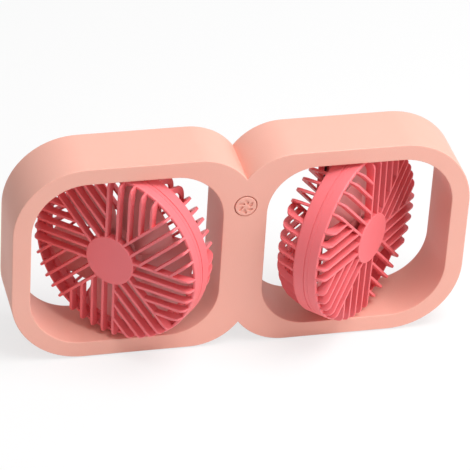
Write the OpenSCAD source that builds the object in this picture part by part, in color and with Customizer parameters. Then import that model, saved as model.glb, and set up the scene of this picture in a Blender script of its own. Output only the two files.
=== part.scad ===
// Desk fan with two round fan heads, each swivelling in its own opening of one twin-ring frame.
// Millimetres. X runs along the frame, Y to the back, Z up. The origin lies on the surface that the
// foot pads stand on, in the middle of the fan's length and of its depth over the turned heads.

/* [Frame] */
// Overall length of the frame
frame_len = 260; // [256:1:264]
// Height of the frame without its foot pads
frame_h = 124; // [122:1:126]
// Depth of the frame, front face to back cover
frame_d = 37; // [36:0.5:40]
// How far each ring's outline reaches past the middle of the frame
ring_overlap = 6; // [5:0.5:7]
// Outline radius at the two ends of the frame
end_r = 41; // [38:0.5:43]
// Outline radius on both sides of the notch in the middle
mid_r = 33.5; // [31:0.5:35]
// Wall thickness of the front shell
shell_t = 2; // [1.8:0.1:2.2]
// Thickness of the back cover
cover_t = 2.2; // [2:0.1:2.6]

/* [Openings] */
// Width of the middle column between the openings
column_w = 25; // [24:0.25:26]
// Width of the frame between an opening and the frame's end
rim_end = 10.5; // [10:0.25:11]
// Width of the frame above and below an opening
rim_top = 9.75; // [9.25:0.25:10.25]
// Corner radius of an opening on the side of the frame's end
hole_end_r = 31; // [29:0.5:32]
// Corner radius of an opening on the side of the middle
hole_mid_r = 28; // [27:0.5:29]

/* [Heads] */
// Gap between a head's band and the opening above and below it
swing_gap = 1; // [1:0.05:1.3]
// Distance from the front face of the frame back to the swivel axis
axis_back = 12.4; // [11.5:0.1:13.5]
// Turn of the left head from straight ahead, where plus is to the right
left_yaw = -42; // [-90:1:90]
// Turn of the right head from straight ahead, where plus is to the right
right_yaw = 44; // [-90:1:90]
// Height of the front hub disc above the swivel axis plane
front_h = 13.9; // [13.5:0.1:14.5]
// Depth of the rear grille behind the swivel axis plane
rear_h = 22.5; // [22:0.1:23.5]
// Width of the front half of the band
band_front = 7.8; // [7:0.1:8.5]
// Width of the rear half of the band
band_rear = 7.2; // [7:0.1:8.5]
// Radius of the plain hub disc
hub_r = 15; // [14.5:0.1:16]

/* [Grille ribs] */
// Number of rib sectors round the hub
sectors = 8; // [8:1:8]
// Parallel ribs in one sector
ribs_per_sector = 5; // [4:1:5]
// Thickness of a rib
rib_t = 1.4; // [1.2:0.1:1.6]
// Depth of a front rib, measured along the fan's axis
rib_depth = 4.5; // [4:0.1:5]
// Depth of a rear rib, measured inwards from the outside of the rear grille
rear_rib_depth = 3.2; // [2.8:0.1:3.6]
// Distance between neighbouring ribs
rib_pitch = 6.85; // [6.8:0.05:7]
// How far a sector's first rib lies off the radius
rib_offset = 3; // [2.8:0.1:3.2]

/* [Fan] */
// Gap between the blade tips and the pivots' pocket blocks
tip_gap = 3; // [3:0.5:5]
// Number of blades
blades = 5; // [4:1:5]
// Angle of the blades to the plane of rotation
blade_pitch = 20; // [17:1:22]
// Turn of both impellers about their own axis
fan_turn = 44; // [0:1:71]

/* [Button] */
// Diameter of the button cap
cap_d = 12; // [11:0.25:12.5]
// Height of the button's middle above the middle of the openings
button_z = 30.25; // [29.5:0.25:31.5]
// Travel of the button
button_travel = 0.5; // [0.3:0.1:0.6]

/* [Hidden] */
$fn = 96;

// Frame heights and faces, where local z points to the front and local y up
foot_proud = 0.8;
ring_z = foot_proud + frame_h / 2;
front_z = frame_d / 2;
back_z = -frame_d / 2;
inner_z = front_z - shell_t;
cover_z = back_z + cover_t;
axis_z = front_z - axis_back;
depth_mid = 2;
ring_w = frame_len / 2 + ring_overlap;
ring_mid = frame_len / 2 - ring_w / 2;
hole_w = frame_len / 2 - column_w / 2 - rim_end;
hole_h = frame_h - 2 * rim_top;
hole_x = (column_w + hole_w) / 2;
head_r = hole_h / 2 - swing_gap;
fit = 0.1;
seat = 0.05;
over = 1;

// Swivel pivots, measured up from the middle of a head
tube_d = 6;
tube_bore = 3.4;
collar_d = 8.6;
collar_h = 1;
tube_in = head_r - 2.85;
tube_out = hole_h / 2 + 3.55;
flat_top = head_r - 0.35;
flange_d = 11;
flange_h = 0.6;
bush_d = 8.4;
bush_seat_d = 14;
bush_top = hole_h / 2 + 2.5;
bush_bore = tube_d + 0.1;
clip_h = 0.5;
clip_z = bush_top + fit;
clip_d = 8.6;
groove_d = 5;
stop_in = 4.6;
stop_out = 6.4;
stop_w = 1;
stop_h = 2;
stop_foot = 0.5;
washer_h = hole_h / 2 - flange_h - flat_top - seat;

// Band of a head and the pocket blocks that clamp its pivots
band_t = 1.8;
band_in = head_r - band_t;
lip_t = 1.2;
lip_h = 3;
seam_w = 0.6;
seam_d = 0.4;
hook_d = 0.5;
hook_h = 1.2;
hook_angle = 14;
block_w = 12;
block_z = 5.5;
block_in = head_r - 4.25;
lead_hole = 4;

// Grille profiles, as radius and height above the swivel axis plane
bend_r = 3;
front_rim = head_r - 0.75;
dome_drop = 0.9;
rear_bend = 9.2;
rear_rim = head_r - 2.25;
skin_t = 1.2;

// Motor and impeller, along the fan's axis
fan_r = block_in - tip_gap;
motor_r = 12.2;
motor_back = -rear_h + 2.05;
motor_front = motor_back + 14.8;
cup_r = motor_r + fit;
cup_top = motor_back + 11.4;
shaft_d = 2;
motor_boss_r = 3;
motor_boss_h = 1.1;
spinner_r = 13.6;
spinner_back = motor_front + 1.3;
spinner_front = front_h - 7.5;
spinner_t = 1.2;
shaft_end = spinner_front - 1.8;
blade_back = cup_top + 2;
blade_t = 1.2;
blade_curve = 60;
blade_lift = 2.4;
blade_root_w = 17;
blade_lead = 19;
blade_trail = 18;
blade_mid = (spinner_r + fan_r) / 2 - 0.8;
screw_ring = 8;
small_screw_d = 2;
small_screw_head = 3.8;
small_screw_deep = 2.2;

// Corners of an opening, measured from the middle of the frame
mid_corner = [hole_x - hole_w / 2 + hole_mid_r, hole_h / 2 - hole_mid_r];
end_corner = [hole_x + hole_w / 2 - hole_end_r, hole_h / 2 - hole_end_r];
ring_corner = [frame_len / 2 - end_r, frame_h / 2 - end_r];

// Cover screws, in the corners of the rings, with room for a lead between wall and boss
screw_d = 2.6;
screw_head_d = 4.6;
screw_head_h = 1.2;
screw_len = 8;
boss_d = 6.6;
lead_way = 3.7;
diagonal = sqrt(0.5);
end_screw = (ring_corner + end_corner + diagonal * (end_r + hole_end_r) * [1, 1]) / 2;
mid_screw = mid_corner + diagonal * (hole_mid_r + shell_t + lead_way + boss_d / 2) * [-1, 1];
cross_w = 0.6;
cross_l = 2.4;

// Battery, held upright in the middle column
cell_d = 18.4;
cell_l = 65;
cell_room = 6.5;
cell_y = button_z - cell_room - cell_l;
foam_t = 2.4;
foam_l = 36;
tab_w = 5;
tab_t = 0.2;
cell_z = cover_z + foam_t + 0.5 + cell_d / 2;
cell_cap_h = 1;
cradle_t = 2;

// Boards, switch and socket
cap_proud = 0.3;
cap_flange_d = cap_d + 3;
cap_flange_h = 0.8;
cap_hole_d = cap_d + 1;
cap_back = inner_z - seat - cap_flange_h;
switch_w = 6;
switch_h = 3.1;
plunger_d = 3.4;
plunger_proud = 1.05;
plunger_l = 1.6;
board_t = 1.2;
board_z = cap_back - plunger_proud - switch_h - 2 * seat;
board_w = 17;
board_low = button_z - 21;
board_high = button_z + 12;
board_screw_y = [button_z - 16.6, button_z + 10.4];
board_boss_d = 4.6;
board_screw_l = 4.5;
socket_w = 8.9;
socket_h = 3.2;
socket_l = 7.3;
socket_y = button_z + 2;
charge_board_w = 15;
charge_board_l = 15;
charge_board_y = socket_y - socket_h / 2 - board_t;
rail_x = charge_board_w / 2 + 0.7;
rail_w = 2.6;
rail_t = 1.6;
light_d = 2;
light_x = 7.2;
lead_d = 1.4;
lead_sides = 8;

// Foot pads
pad_w = 8;
pad_l = 26;
pad_deep = 0.9;
pad_x = [frame_len / 2 - ring_w + mid_r + 9.5, frame_len / 2 - end_r - 10];

shell_colour = [0.95, 0.70, 0.63];
head_colour = [0.90, 0.36, 0.41];
fan_colour = [0.69, 0.38, 0.41];
steel_colour = [0.75, 0.76, 0.78];
acetal_colour = [0.93, 0.93, 0.90];
rubber_colour = [0.82, 0.80, 0.79];
board_colour = [0.10, 0.38, 0.22];
lead_colour = [0.75, 0.12, 0.12];
black_colour = [0.13, 0.13, 0.14];

// Frame placing: children drawn with y up and z to the front
module on_frame() {
    translate([0, axis_z - depth_mid, ring_z]) rotate([90, 0, 0]) children();
}

// Head placing: the same axes, centred on the swivel axis and turned to the head's yaw
module on_head(side) {
    yaw = side < 0 ? left_yaw : right_yaw;
    on_frame() translate([side * hole_x, 0, axis_z]) rotate([0, yaw, 0]) children();
}

// Pivot placing: children drawn with z up along the swivel axis, end = 1 above and -1 below
module on_pivot(side, end) {
    on_head(side) rotate([end > 0 ? -90 : 90, 0, 0]) children();
}

// The same place without the head's yaw, for what stays with the frame
module on_seat(side, end) {
    on_frame() translate([side * hole_x, 0, axis_z]) rotate([end > 0 ? -90 : 90, 0, 0]) children();
}

module tube(outer, inner, length) {
    difference() {
        cylinder(d = outer, h = length);
        translate([0, 0, -over]) cylinder(d = inner, h = length + 2 * over);
    }
}

// A rectangle from x0 to x1 with its own corner radius at each of its two ends
module rounded_panel(x0, x1, height, r0, r1) {
    top = height / 2;
    translate([x0 + r0, -top]) square([x1 - r1 - x0 - r0, height]);
    translate([x0, -top + r0]) square([r0 + over, height - 2 * r0]);
    translate([x1 - r1 - over, -top + r1]) square([r1 + over, height - 2 * r1]);
    for (s = [-1, 1]) {
        translate([x0 + r0, s * (top - r0)]) circle(r = r0);
        translate([x1 - r1, s * (top - r1)]) circle(r = r1);
    }
}

// Outline of the twin rings, grown by grow
module twin_outline(grow) {
    for (s = [0, 1]) mirror([s, 0])
        rounded_panel(ring_mid - ring_w / 2 - grow, frame_len / 2 + grow,
            frame_h + 2 * grow, mid_r + grow, end_r + grow);
}

// Both openings, grown by grow
module openings(grow) {
    for (s = [0, 1]) mirror([s, 0])
        rounded_panel(hole_x - hole_w / 2 - grow, hole_x + hole_w / 2 + grow,
            hole_h + 2 * grow, hole_mid_r + grow, hole_end_r + grow);
}

module screw_places() {
    for (sx = [-1, 1]) for (sy = [-1, 1]) for (p = [end_screw, mid_screw])
        translate([sx * p[0], sy * p[1], 0]) children();
}

// A pan head screw with its head up, its seat at z = 0 and a cross in the head
module pan_screw(d, head_d, head_h, length) {
    difference() {
        union() {
            translate([0, 0, -length]) cylinder(d = d, h = length + head_h / 2);
            cylinder(d = head_d, h = head_h);
        }
        for (a = [0, 90]) rotate(a)
            translate([-cross_l / 2, -cross_w / 2, head_h - 0.6]) cube([cross_l, cross_w, over]);
    }
}

function unit(v) = v / norm(v);

// Direction of stretch i of a lead, and a direction across it that doesn't twist along the lead
function way(points, i) = unit(points[i + 1] - points[i]);
function across(points, i) = i == 0
    ? unit(cross(way(points, 0), [1, 2, 3]))
    : let (a = way(points, i - 1), b = way(points, i), u = across(points, i - 1))
        u - (a + b) * (u * b) / (1 + a * b);

// Points round a lead at its point i, mitred between the two stretches that meet there
function lead_ring(points, i, d) =
    let (a = way(points, max(i - 1, 0)), b = way(points, min(i, len(points) - 2)), t = unit(a + b),
        u = across(points, max(i - 1, 0)), v = cross(a, u))
    [for (k = [0 : lead_sides - 1])
        let (turn = 360 * k / lead_sides, w = d / 2 * (cos(turn) * u + sin(turn) * v))
        points[i] + w - a * (w * t) / (a * t)];

// A lead through a list of points
module lead(points, d) {
    n = lead_sides;
    last = len(points) - 1;
    polyhedron(
        points = [for (i = [0 : last]) each lead_ring(points, i, d)],
        faces = concat(
            [[for (k = [0 : n - 1]) k], [for (k = [n - 1 : -1 : 0]) last * n + k]],
            [for (i = [0 : last - 1]) for (k = [0 : n - 1]) each
                let (p = i * n + k, q = i * n + (k + 1) % n) [[p, p + n, q + n], [p, q + n, q]]]));
}

// Front shell: front face, outer wall and the two opening walls in one moulding, open at the back
module front_shell() {
    color(shell_colour) on_frame() difference() {
        union() {
            difference() {
                translate([0, 0, back_z]) linear_extrude(frame_d) difference() {
                    twin_outline(0);
                    openings(0);
                }
                translate([0, 0, back_z - over]) linear_extrude(inner_z - back_z + over) difference() {
                    twin_outline(-shell_t);
                    openings(shell_t);
                }
            }
            screw_places() translate([0, 0, cover_z]) cylinder(d = boss_d, h = inner_z - cover_z + seat);
            for (y = board_screw_y) translate([0, y, board_z])
                cylinder(d = board_boss_d, h = inner_z - board_z + seat);
            for (part = [0.15, 0.73]) battery_cradle(cell_y + part * cell_l);
            translate([-cell_d / 3, cell_y - cradle_t - 2 * fit, cell_z])
                cube([cell_d / 1.5, cradle_t, inner_z - cell_z + seat]);
            for (s = [-1, 1]) for (end = [-1, 1]) pivot_pad(s, end);
        }
        screw_places() translate([0, 0, cover_z - over])
            cylinder(d = screw_d + fit, h = screw_len + 2 + over);
        for (y = board_screw_y) translate([0, y, board_z - over])
            cylinder(d = small_screw_d + fit, h = inner_z - board_z + over);
        translate([0, button_z, inner_z - over]) cylinder(d = cap_hole_d, h = shell_t + 2 * over);
        for (s = [-1, 1]) for (end = [-1, 1])
            translate([s * hole_x, 0, axis_z]) rotate([end > 0 ? -90 : 90, 0, 0])
                translate([0, 0, hole_h / 2 - over]) cylinder(d = bush_d + fit, h = 4 + over);
        foot_places() translate([0, 0, -over]) linear_extrude(pad_deep + over) pad_outline(fit);
    }
}

// Two ribs across the column, cut to the round of the battery
module battery_cradle(y) {
    translate([0, y, 0]) difference() {
        translate([-column_w / 2 + shell_t - seat, 0, cell_z + 2])
            cube([column_w - 2 * (shell_t - seat), cradle_t, inner_z - cell_z - 2 + seat]);
        translate([0, cradle_t + over, cell_z]) rotate([90, 0, 0])
            cylinder(d = cell_d + 2 * fit, h = cradle_t + 2 * over);
    }
}

// Thickened seat behind an opening wall, with the post that limits the swivel
module pivot_pad(side, end) {
    translate([side * hole_x, 0, axis_z]) rotate([end > 0 ? -90 : 90, 0, 0]) {
        translate([0, 0, hole_h / 2 + shell_t - seat])
            cylinder(d = bush_seat_d, h = bush_top - hole_h / 2 - shell_t + seat);
        mirror([0, end > 0 ? 0 : 1, 0]) translate([-stop_w / 2, stop_in, hole_h / 2 + shell_t - seat])
            cube([stop_w, stop_out - stop_in + stop_foot, stop_h]);
    }
}

// The four foot places, with z measured up from the frame's underside
module foot_places() {
    for (x = pad_x) for (s = [-1, 1])
        translate([s * x, -frame_h / 2, 0]) rotate([-90, 0, 0]) children();
}

module pad_outline(grow) {
    w = pad_w + 2 * grow;
    run = pad_l - pad_w;
    translate([-w / 2, -run / 2]) square([w, run]);
    for (s = [-1, 1]) translate([0, s * run / 2]) circle(d = w);
}

// Back cover: a plate set into the back of the shell, with rails for the charging board
module rear_cover() {
    color(shell_colour) on_frame() difference() {
        union() {
            translate([0, 0, back_z]) linear_extrude(cover_t - fit) difference() {
                twin_outline(-shell_t - fit);
                openings(shell_t + fit);
            }
            for (s = [-1, 1])
                translate([s * rail_x - rail_w / 2, charge_board_y - rail_t, back_z + cover_t / 2])
                    cube([rail_w, board_t + 2 * rail_t, charge_board_l + 1]);
        }
        charging_board_space(fit);
        socket_form(0.2, back_z - over, cover_t + 2 * over);
        translate([light_x, socket_y, back_z - over]) cylinder(d = light_d + fit, h = cover_t + 2 * over);
        screw_places() {
            translate([0, 0, back_z - over]) cylinder(d = screw_d + 0.2, h = cover_t + 2 * over);
            translate([0, 0, back_z - over]) cylinder(d = screw_head_d + 0.6, h = screw_head_h + 0.2 + over);
        }
    }
}

module charging_board_space(grow) {
    translate([-charge_board_w / 2 - grow, charge_board_y - grow, cover_z + 0.4 - grow])
        cube([charge_board_w + 2 * grow, board_t + grow, charge_board_l + 2 * grow]);
}

module cover_screws() {
    color(steel_colour) on_frame() screw_places() translate([0, 0, back_z + screw_head_h + 0.2])
        mirror([0, 0, 1]) pan_screw(screw_d, screw_head_d, screw_head_h, screw_len);
}

// Four silicone pads let into the underside
module foot_pads() {
    color(rubber_colour) on_frame() foot_places() translate([0, 0, -foot_proud])
        linear_extrude(foot_proud + pad_deep - seat) pad_outline(0);
}

// Button cap: a round cap behind the face on a flange, with a six-bladed swirl sunk in its face
module button_cap() {
    top = front_z + cap_proud;
    color(shell_colour) on_frame() translate([0, button_z, 0]) difference() {
        union() {
            translate([0, 0, cap_back]) cylinder(d = cap_d, h = top - cap_back);
            translate([0, 0, cap_back]) cylinder(d = cap_flange_d, h = cap_flange_h);
        }
        translate([0, 0, top - 0.35]) linear_extrude(over) for (k = [0 : 5]) rotate(60 * k) swirl_blade();
    }
}

// One blade of the swirl: a round lobe with a second round bitten out of it
module swirl_blade() {
    intersection() {
        difference() {
            circle(d = cap_d - 2.6);
            circle(d = 2.4);
        }
        difference() {
            translate([2.9, 0.2]) circle(r = 2);
            translate([2.5, -1.7]) circle(r = 2);
        }
    }
}

// Plunger of the tact switch, pushed by the cap
module switch_plunger() {
    color(black_colour) on_frame() translate([0, button_z, cap_back - seat - plunger_l])
        cylinder(d = plunger_d, h = plunger_l);
}

module tact_switch() {
    color(black_colour) on_frame() difference() {
        translate([-switch_w / 2, button_z - switch_w / 2, board_z + seat])
            cube([switch_w, switch_w, switch_h]);
        translate([0, button_z, cap_back - seat - plunger_l - button_travel - 2 * fit])
            cylinder(d = plunger_d + 2 * fit, h = plunger_l + over);
    }
}

// Control board behind the button, on two bosses of the shell
module control_board() {
    color(board_colour) on_frame() difference() {
        translate([-board_w / 2, board_low, board_z - board_t])
            cube([board_w, board_high - board_low, board_t]);
        for (y = board_screw_y) translate([0, y, board_z - board_t - over])
            cylinder(d = small_screw_d + 0.2, h = board_t + 2 * over);
        for (s = [-1, 1]) translate([s * (board_w / 2), board_high, board_z - board_t - over])
            rotate(45) translate([-3, -3, 0]) cube([6, 6, board_t + 2 * over]);
    }
}

module board_screws() {
    color(steel_colour) on_frame() for (y = board_screw_y) translate([0, y, board_z - board_t - seat])
        mirror([0, 0, 1]) pan_screw(small_screw_d, small_screw_head, 1, board_screw_l);
}

// Small upright-edged board in the cover's rails, which carries the socket and the charge light
module charging_board() {
    color(board_colour) on_frame() charging_board_space(0);
}

// Flat form with round ends, grown by grow
module socket_form(grow, z, length) {
    r = socket_h / 2 + grow;
    side = socket_w / 2 - socket_h / 2;
    translate([0, socket_y, z]) {
        translate([-side, -r, 0]) cube([2 * side, 2 * r, length]);
        for (s = [-1, 1]) translate([s * side, 0, 0]) cylinder(r = r, h = length);
    }
}

module charging_socket() {
    color(steel_colour) on_frame() difference() {
        socket_form(-seat, back_z + 0.2, socket_l);
        socket_form(-0.4, back_z - over, socket_l - 0.6 + over);
    }
    color(black_colour) on_frame() translate([-3.2, socket_y - 0.35, back_z + 1])
        cube([6.4, 0.7, socket_l - 1.2]);
}

module charge_light() {
    color(acetal_colour) on_frame() translate([light_x, socket_y, back_z])
        cylinder(d = light_d, h = cover_t + 0.6);
}

module battery_cell() {
    color([0.25, 0.42, 0.62]) on_frame() translate([0, cell_y, cell_z]) rotate([-90, 0, 0]) {
        cylinder(d = cell_d, h = cell_l - cell_cap_h);
        translate([0, 0, cell_l - cell_cap_h - over]) cylinder(d = 6, h = cell_cap_h + over);
    }
}

// Nickel strip over the cap at the top and folded round the foot of the cell
module battery_tabs() {
    color(steel_colour) on_frame() {
        translate([-tab_w / 2, cell_y + cell_l + seat, cell_z - 2]) cube([tab_w, tab_t, 9]);
        translate([-tab_w / 2, cell_y - fit, cell_z - cell_d / 2 - 2 * tab_t]) cube([tab_w, fit - 0.02, 7]);
        translate([-tab_w / 2, cell_y - fit, cell_z - cell_d / 2 - 2 * tab_t]) cube([tab_w, 8, tab_t]);
    }
}

module battery_pad() {
    color(black_colour) on_frame() translate([-cell_d / 3, cell_y + (cell_l - foam_l) / 2, cover_z])
        cube([cell_d / 1.5, foam_l, foam_t]);
}

// Two leads from the battery's tabs to the back of the control board
module battery_leads() {
    top = cell_y + cell_l + 2.8;
    board_back = board_z - board_t - 0.1;
    side_x = cell_d / 2 - 0.4;
    low_z = cell_z - cell_d / 2;
    color(lead_colour) on_frame() {
        lead([[-1.2, top - 1.7, cell_z + 5.5], [-1.2, top, cell_z + 8], [-1.2, top, board_back]], lead_d);
        lead([[2, cell_y + 6.5, low_z - 1.3], [side_x - 0.6, cell_y + 10, low_z + 0.4],
            [side_x, cell_y + 16, low_z + 0.8], [side_x, top - 7.8, low_z + 0.8],
            [side_x - 0.6, top - 0.4, low_z + 4.4],
            [side_x - 1.8, top, cell_z + 8], [side_x - 1.8, top, board_back]], lead_d);
    }
}

// Two leads between the charging board and the control board
module board_leads() {
    low = socket_y - socket_h / 2 - board_t - lead_d / 2 - 0.1;
    color(black_colour) on_frame() for (s = [-1, 1])
        lead([[s * 3 + 1, low, cover_z + charge_board_l - 4.7],
            [s * 3 + 1, low, cover_z + charge_board_l + 3.3],
            [s * 3 + 1, low + 1, board_z - board_t - 0.1]], lead_d);
}

// Motor leads in the frame: out of the upper pivot, round the opening's corner between its wall
// and the screw boss, and down to the back of the board
module frame_leads(side) {
    top = hole_h / 2 + 4.9;
    bend_ring = hole_mid_r + shell_t + lead_d / 2 + 1.5;
    board_back = board_z - board_t - 0.1;
    color(black_colour) on_frame() lead(concat(
        [[side * hole_x, top - 4.5, axis_z], [side * hole_x, top, axis_z],
            [side * (mid_corner[0] + 4), top, axis_z]],
        [for (a = [105, 130, 155])
            [side * (mid_corner[0] + bend_ring * cos(a)), mid_corner[1] + bend_ring * sin(a), axis_z]],
        [[side * 6, board_high - 5.3, board_back - 2.5], [side * 6, board_high - 5.3, board_back]]), lead_d);
}

module left_frame_leads() { frame_leads(-1); }
module right_frame_leads() { frame_leads(1); }

// Flanged bush in an opening wall: its flange lies in the gap between the wall and the head
module bush(side, end) {
    color(acetal_colour) on_seat(side, end) translate([0, 0, hole_h / 2 - flange_h]) difference() {
        union() {
            cylinder(d = flange_d, h = flange_h - 0.01);
            cylinder(d = bush_d, h = bush_top - hole_h / 2 + flange_h);
        }
        translate([0, 0, -over]) cylinder(d = bush_bore, h = bush_top);
    }
}

module left_upper_bush() { bush(-1, 1); }
module left_lower_bush() { bush(-1, -1); }
module right_upper_bush() { bush(1, 1); }
module right_lower_bush() { bush(1, -1); }

// The parallel ribs of every sector: each sector's ribs run along its own direction, and end on
// the hub or on the first rib of the next sector
module rib_plan(reach) {
    for (k = [0 : sectors - 1]) rotate(360 * k / sectors) for (j = [0 : ribs_per_sector - 1]) {
        off = rib_pitch * j - rib_offset;
        root = max(sqrt(max(0, pow(hub_r - over, 2) - off * off)), off + rib_offset * sqrt(2));
        translate([root, -off - rib_t / 2]) square([reach - root, rib_t]);
    }
}

// Quarter bend as points, from the top round to the outside
function bend(cx, cy, r, sign) = [for (a = [0 : 22.5 : 90]) [cx + r * sin(a), cy + sign * r * cos(a)]];

// Half of the two pocket blocks that clamp the pivot tubes, on the inside of the band
module pocket_blocks(z0, z1) {
    deep = head_r - block_in - band_t + 0.6;
    for (y = [block_in, -block_in - deep]) translate([-block_w / 2, y, z0]) cube([block_w, deep, z1 - z0]);
}

// The room that both pivot tubes, their collars and their flat seats take out of the band
module pivot_room() {
    for (end = [0, 180]) rotate(end) rotate([-90, 0, 0]) {
        translate([0, 0, block_in - over]) cylinder(d = lead_hole, h = tube_in - block_in + over);
        translate([0, 0, tube_in - seat]) cylinder(d = collar_d + fit, h = collar_h + 2 * seat);
        translate([0, 0, tube_in]) cylinder(d = tube_d + fit, h = tube_out);
        translate([0, 0, flat_top]) cylinder(d = flange_d + 1, h = 3);
    }
}

module band_ring(r_in, r_out, z0, z1) {
    translate([0, 0, z0]) difference() {
        cylinder(r = r_out, h = z1 - z0);
        translate([0, 0, -over]) cylinder(r = r_in, h = z1 - z0 + 2 * over);
    }
}

// Hooks or their grooves: four short arcs on the lip
module hook_arcs(r_in, r_out, z0, z1, angle) {
    for (k = [0 : 3]) rotate(45 + 90 * k - angle / 2) rotate_extrude(angle = angle)
        translate([r_in, z0]) square([r_out - r_in, z1 - z0]);
}

// Front grille: hub disc, ribs and the front half of the band, with a hooked lip inside
module front_grille(side) {
    color(head_colour) on_head(side) difference() {
        union() {
            difference() {
                intersection() {
                    translate([0, 0, 3.5]) linear_extrude(front_h) rib_plan(head_r - 0.3);
                    rotate_extrude() polygon(concat(
                        [[0, 0], [0, front_h], [hub_r, front_h]],
                        bend(front_rim - bend_r, front_h - dome_drop - bend_r, bend_r, 1),
                        [[head_r - 0.25, band_front], [head_r - 0.25, 0]]));
                }
                rotate_extrude() polygon([[0, 0], [0, front_h - rib_depth], [hub_r, front_h - rib_depth],
                    [front_rim - 5, front_h - dome_drop - rib_depth], [front_rim - 3.6, band_front - 0.8],
                    [band_in + 0.3, 4.4], [band_in + 0.3, 0]]);
            }
            translate([0, 0, front_h - 2]) cylinder(r = hub_r, h = 2);
            band_ring(hub_r - 1.6, hub_r, front_h - rib_depth, front_h - over);
            band_ring(band_in, head_r, 0, band_front);
            difference() {
                union() {
                    band_ring(band_in - fit - lip_t, band_in - fit, -lip_h, 1.5);
                    band_ring(band_in - fit - lip_t, band_in + 0.5, 0, 1.5);
                    hook_arcs(band_in - fit - lip_t / 2, band_in + hook_d - fit, -lip_h, hook_h - lip_h,
                        hook_angle);
                }
                for (s = [-1, 1]) translate([-block_w / 2 - 0.5, s * band_in - 10, -lip_h - over])
                    cube([block_w + 1, 20, lip_h + over]);
            }
            pocket_blocks(0, block_z);
        }
        pivot_room();
        band_ring(head_r - seam_d, head_r + over, -over, seam_w / 2);
    }
}

// Rear grille: motor cup, ribs and the rear half of the band, with a trough for the motor's leads
module rear_grille(side) {
    color(head_colour) on_head(side) difference() {
        union() {
            difference() {
                intersection() {
                    translate([0, 0, -rear_h - over]) linear_extrude(rear_h - 3) rib_plan(head_r - 0.3);
                    rear_body(0);
                }
                rear_body(rear_rib_depth);
            }
            intersection() {
                translate([-rib_offset, hub_r - over, -rear_h - over]) cube([rib_pitch, head_r, rear_h - 3]);
                difference() {
                    rear_body(0);
                    rear_body(skin_t);
                }
            }
            translate([0, 0, -rear_h]) cylinder(r = hub_r, h = cup_top + rear_h);
            band_ring(band_in, head_r, -band_rear, 0);
            pocket_blocks(-block_z, 0);
        }
        translate([0, 0, motor_back - seat]) cylinder(r = cup_r, h = 40);
        translate([-rib_offset + rib_t / 2 + 0.6, 0, motor_back - seat])
            cube([rib_pitch - rib_t - 1.2, hub_r + over, 6]);
        for (s = [-1, 1]) translate([s * screw_ring, 0, -rear_h - over]) {
            cylinder(d = small_screw_d + 0.2, h = 10);
            cylinder(d = small_screw_head + 0.4, h = 1.1 + over);
        }
        pivot_room();
        band_ring(head_r - seam_d, head_r + over, -seam_w / 2, over);
        hook_arcs(band_in - 0.5, band_in + hook_d + 0.1, -lip_h - 0.1, hook_h - lip_h + 0.1, hook_angle + 2);
    }
}

// Solid bowl of the rear grille's outside, drawn in by inset
module rear_body(inset) {
    rotate_extrude() polygon(concat(
        [[0, 1], [0, -rear_h + inset]],
        bend(rear_rim - rear_bend, -rear_h + rear_bend, rear_bend - inset, -1),
        [[head_r - 0.25 - inset, -band_rear + 0.5], [head_r - 0.25 - inset, 1]]));
}

// Pivot tube with the collar that the two halves of the band clamp, and a groove for its clip
module pivot_tube(side, end) {
    color(steel_colour) on_pivot(side, end) difference() {
        union() {
            translate([0, 0, tube_in]) cylinder(d = tube_d, h = tube_out - tube_in);
            translate([0, 0, tube_in]) cylinder(d = collar_d, h = collar_h);
        }
        translate([0, 0, tube_in - over]) cylinder(d = tube_bore, h = tube_out - tube_in + 2 * over);
        translate([0, 0, clip_z - seat]) difference() {
            cylinder(d = tube_d + over, h = clip_h + 2 * seat);
            translate([0, 0, -over]) cylinder(d = groove_d, h = 3);
        }
    }
}

// Open spring clips in the tubes' grooves, whose tab meets the post that limits the swivel
module pivot_clips(side) {
    color(steel_colour) for (end = [-1, 1]) on_pivot(side, end) translate([0, 0, clip_z]) difference() {
        union() {
            cylinder(d = clip_d, h = clip_h);
            mirror([0, end > 0 ? 1 : 0, 0]) translate([-stop_w / 2, clip_d / 2 - 0.5, 0])
                cube([stop_w, stop_out - clip_d / 2 + 0.5, clip_h]);
        }
        translate([0, 0, -over]) cylinder(d = groove_d + fit, h = 3);
        translate([0, -1.4, -over]) cube([10, 2.8, 3]);
    }
}

module friction_washers(side) {
    color(acetal_colour) for (end = [-1, 1]) on_pivot(side, end) translate([0, 0, flat_top])
        tube(flange_d - 0.4, tube_d + 0.4, washer_h);
}

// Motor can with its front bearing boss and two blind screw holes in its back
module motor(side) {
    color(steel_colour) on_head(side) difference() {
        union() {
            translate([0, 0, motor_back]) cylinder(r = motor_r, h = motor_front - motor_back);
            translate([0, 0, motor_front - over]) cylinder(r = motor_boss_r, h = motor_boss_h + over);
        }
        translate([0, 0, motor_front - 9]) cylinder(d = shaft_d + 0.1, h = 20);
        for (s = [-1, 1]) translate([s * screw_ring, 0, motor_back - over])
            cylinder(d = small_screw_d + 0.1, h = small_screw_deep + 0.3 + over);
    }
}

module motor_screws(side) {
    color(steel_colour) on_head(side) for (s = [-1, 1]) translate([s * screw_ring, 0, -rear_h + 1.1])
        mirror([0, 0, 1]) pan_screw(small_screw_d, small_screw_head, 1, small_screw_deep + 0.9);
}

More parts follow.
